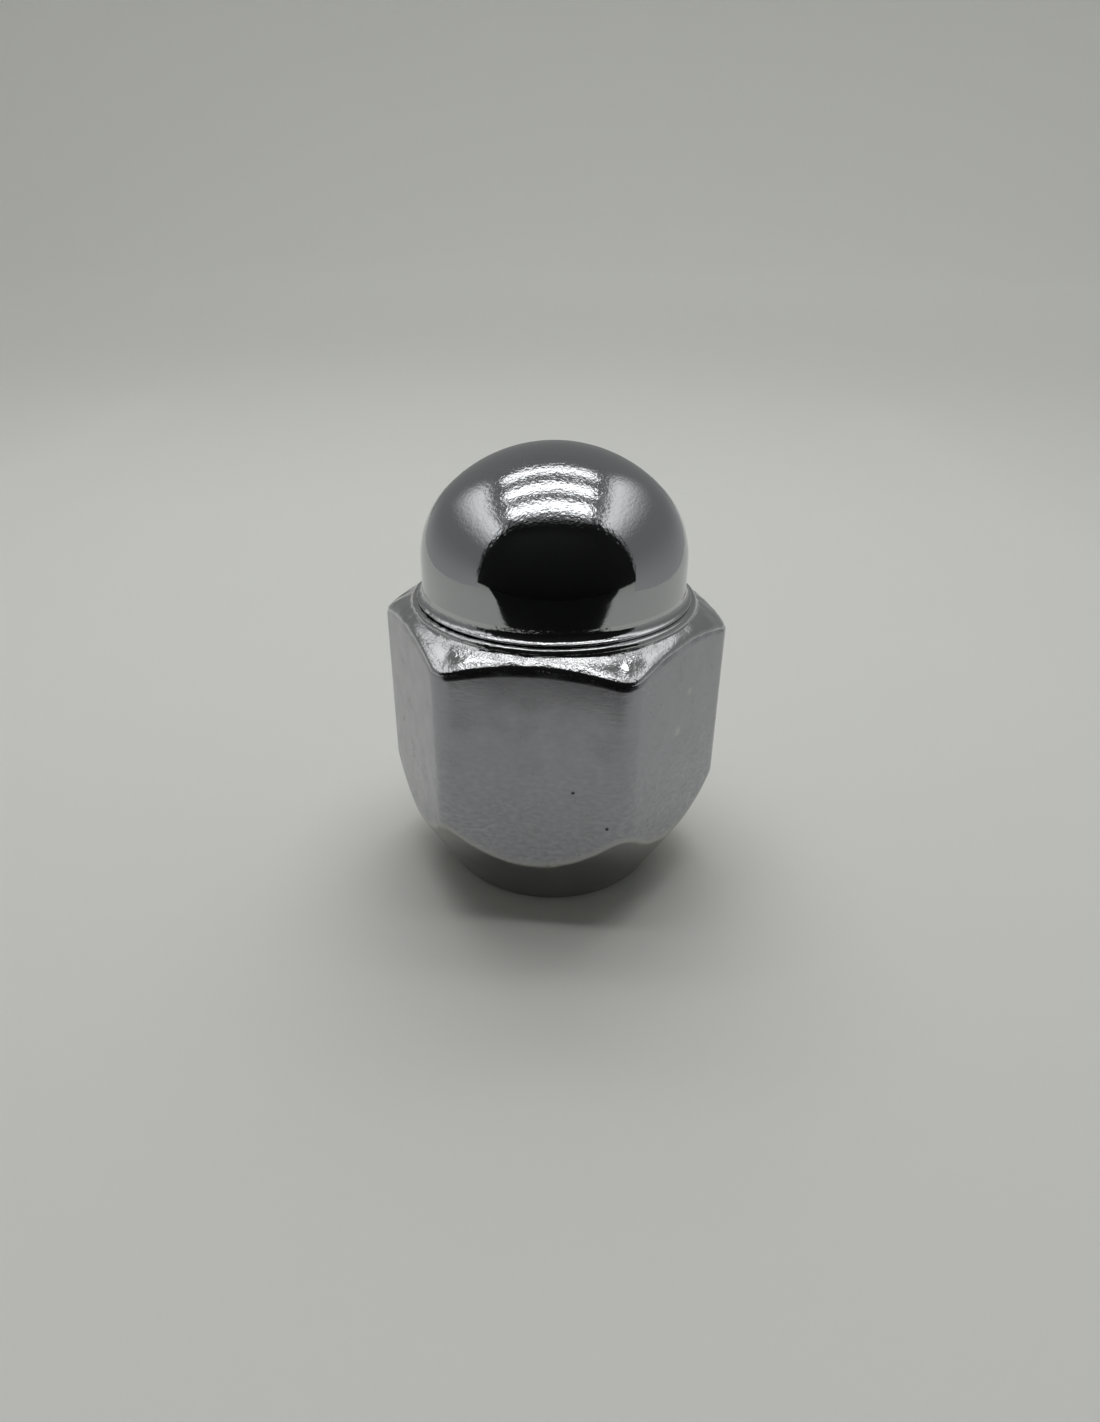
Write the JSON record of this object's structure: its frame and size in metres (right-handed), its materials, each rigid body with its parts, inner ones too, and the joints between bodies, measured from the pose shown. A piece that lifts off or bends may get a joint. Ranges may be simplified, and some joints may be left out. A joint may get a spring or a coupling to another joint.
{
  "type": "lug nut",
  "caption": "Closed-end wheel lug nut: hexagon body with a through thread and conical seat, closed by a welded dome cap, chrome plated.",
  "frame": {"origin": "centre of the foot ring that the nut stands on", "axes": "+Z along the thread's axis towards the dome; two wrench flats face -Y and +Y, two corners lie on X"},
  "size_m": [0.0236, 0.021, 0.0305],
  "materials": {
    "plated_body": "chrome plate over an as-forged surface, bright but finely pebbled",
    "plated_cap": "chrome plate over a smooth pressed cap, mirror bright"
  },
  "bodies": {
    "root": {"hex_body": "plated_body", "dome_cap": "plated_cap"}
  },
  "joints": []
}
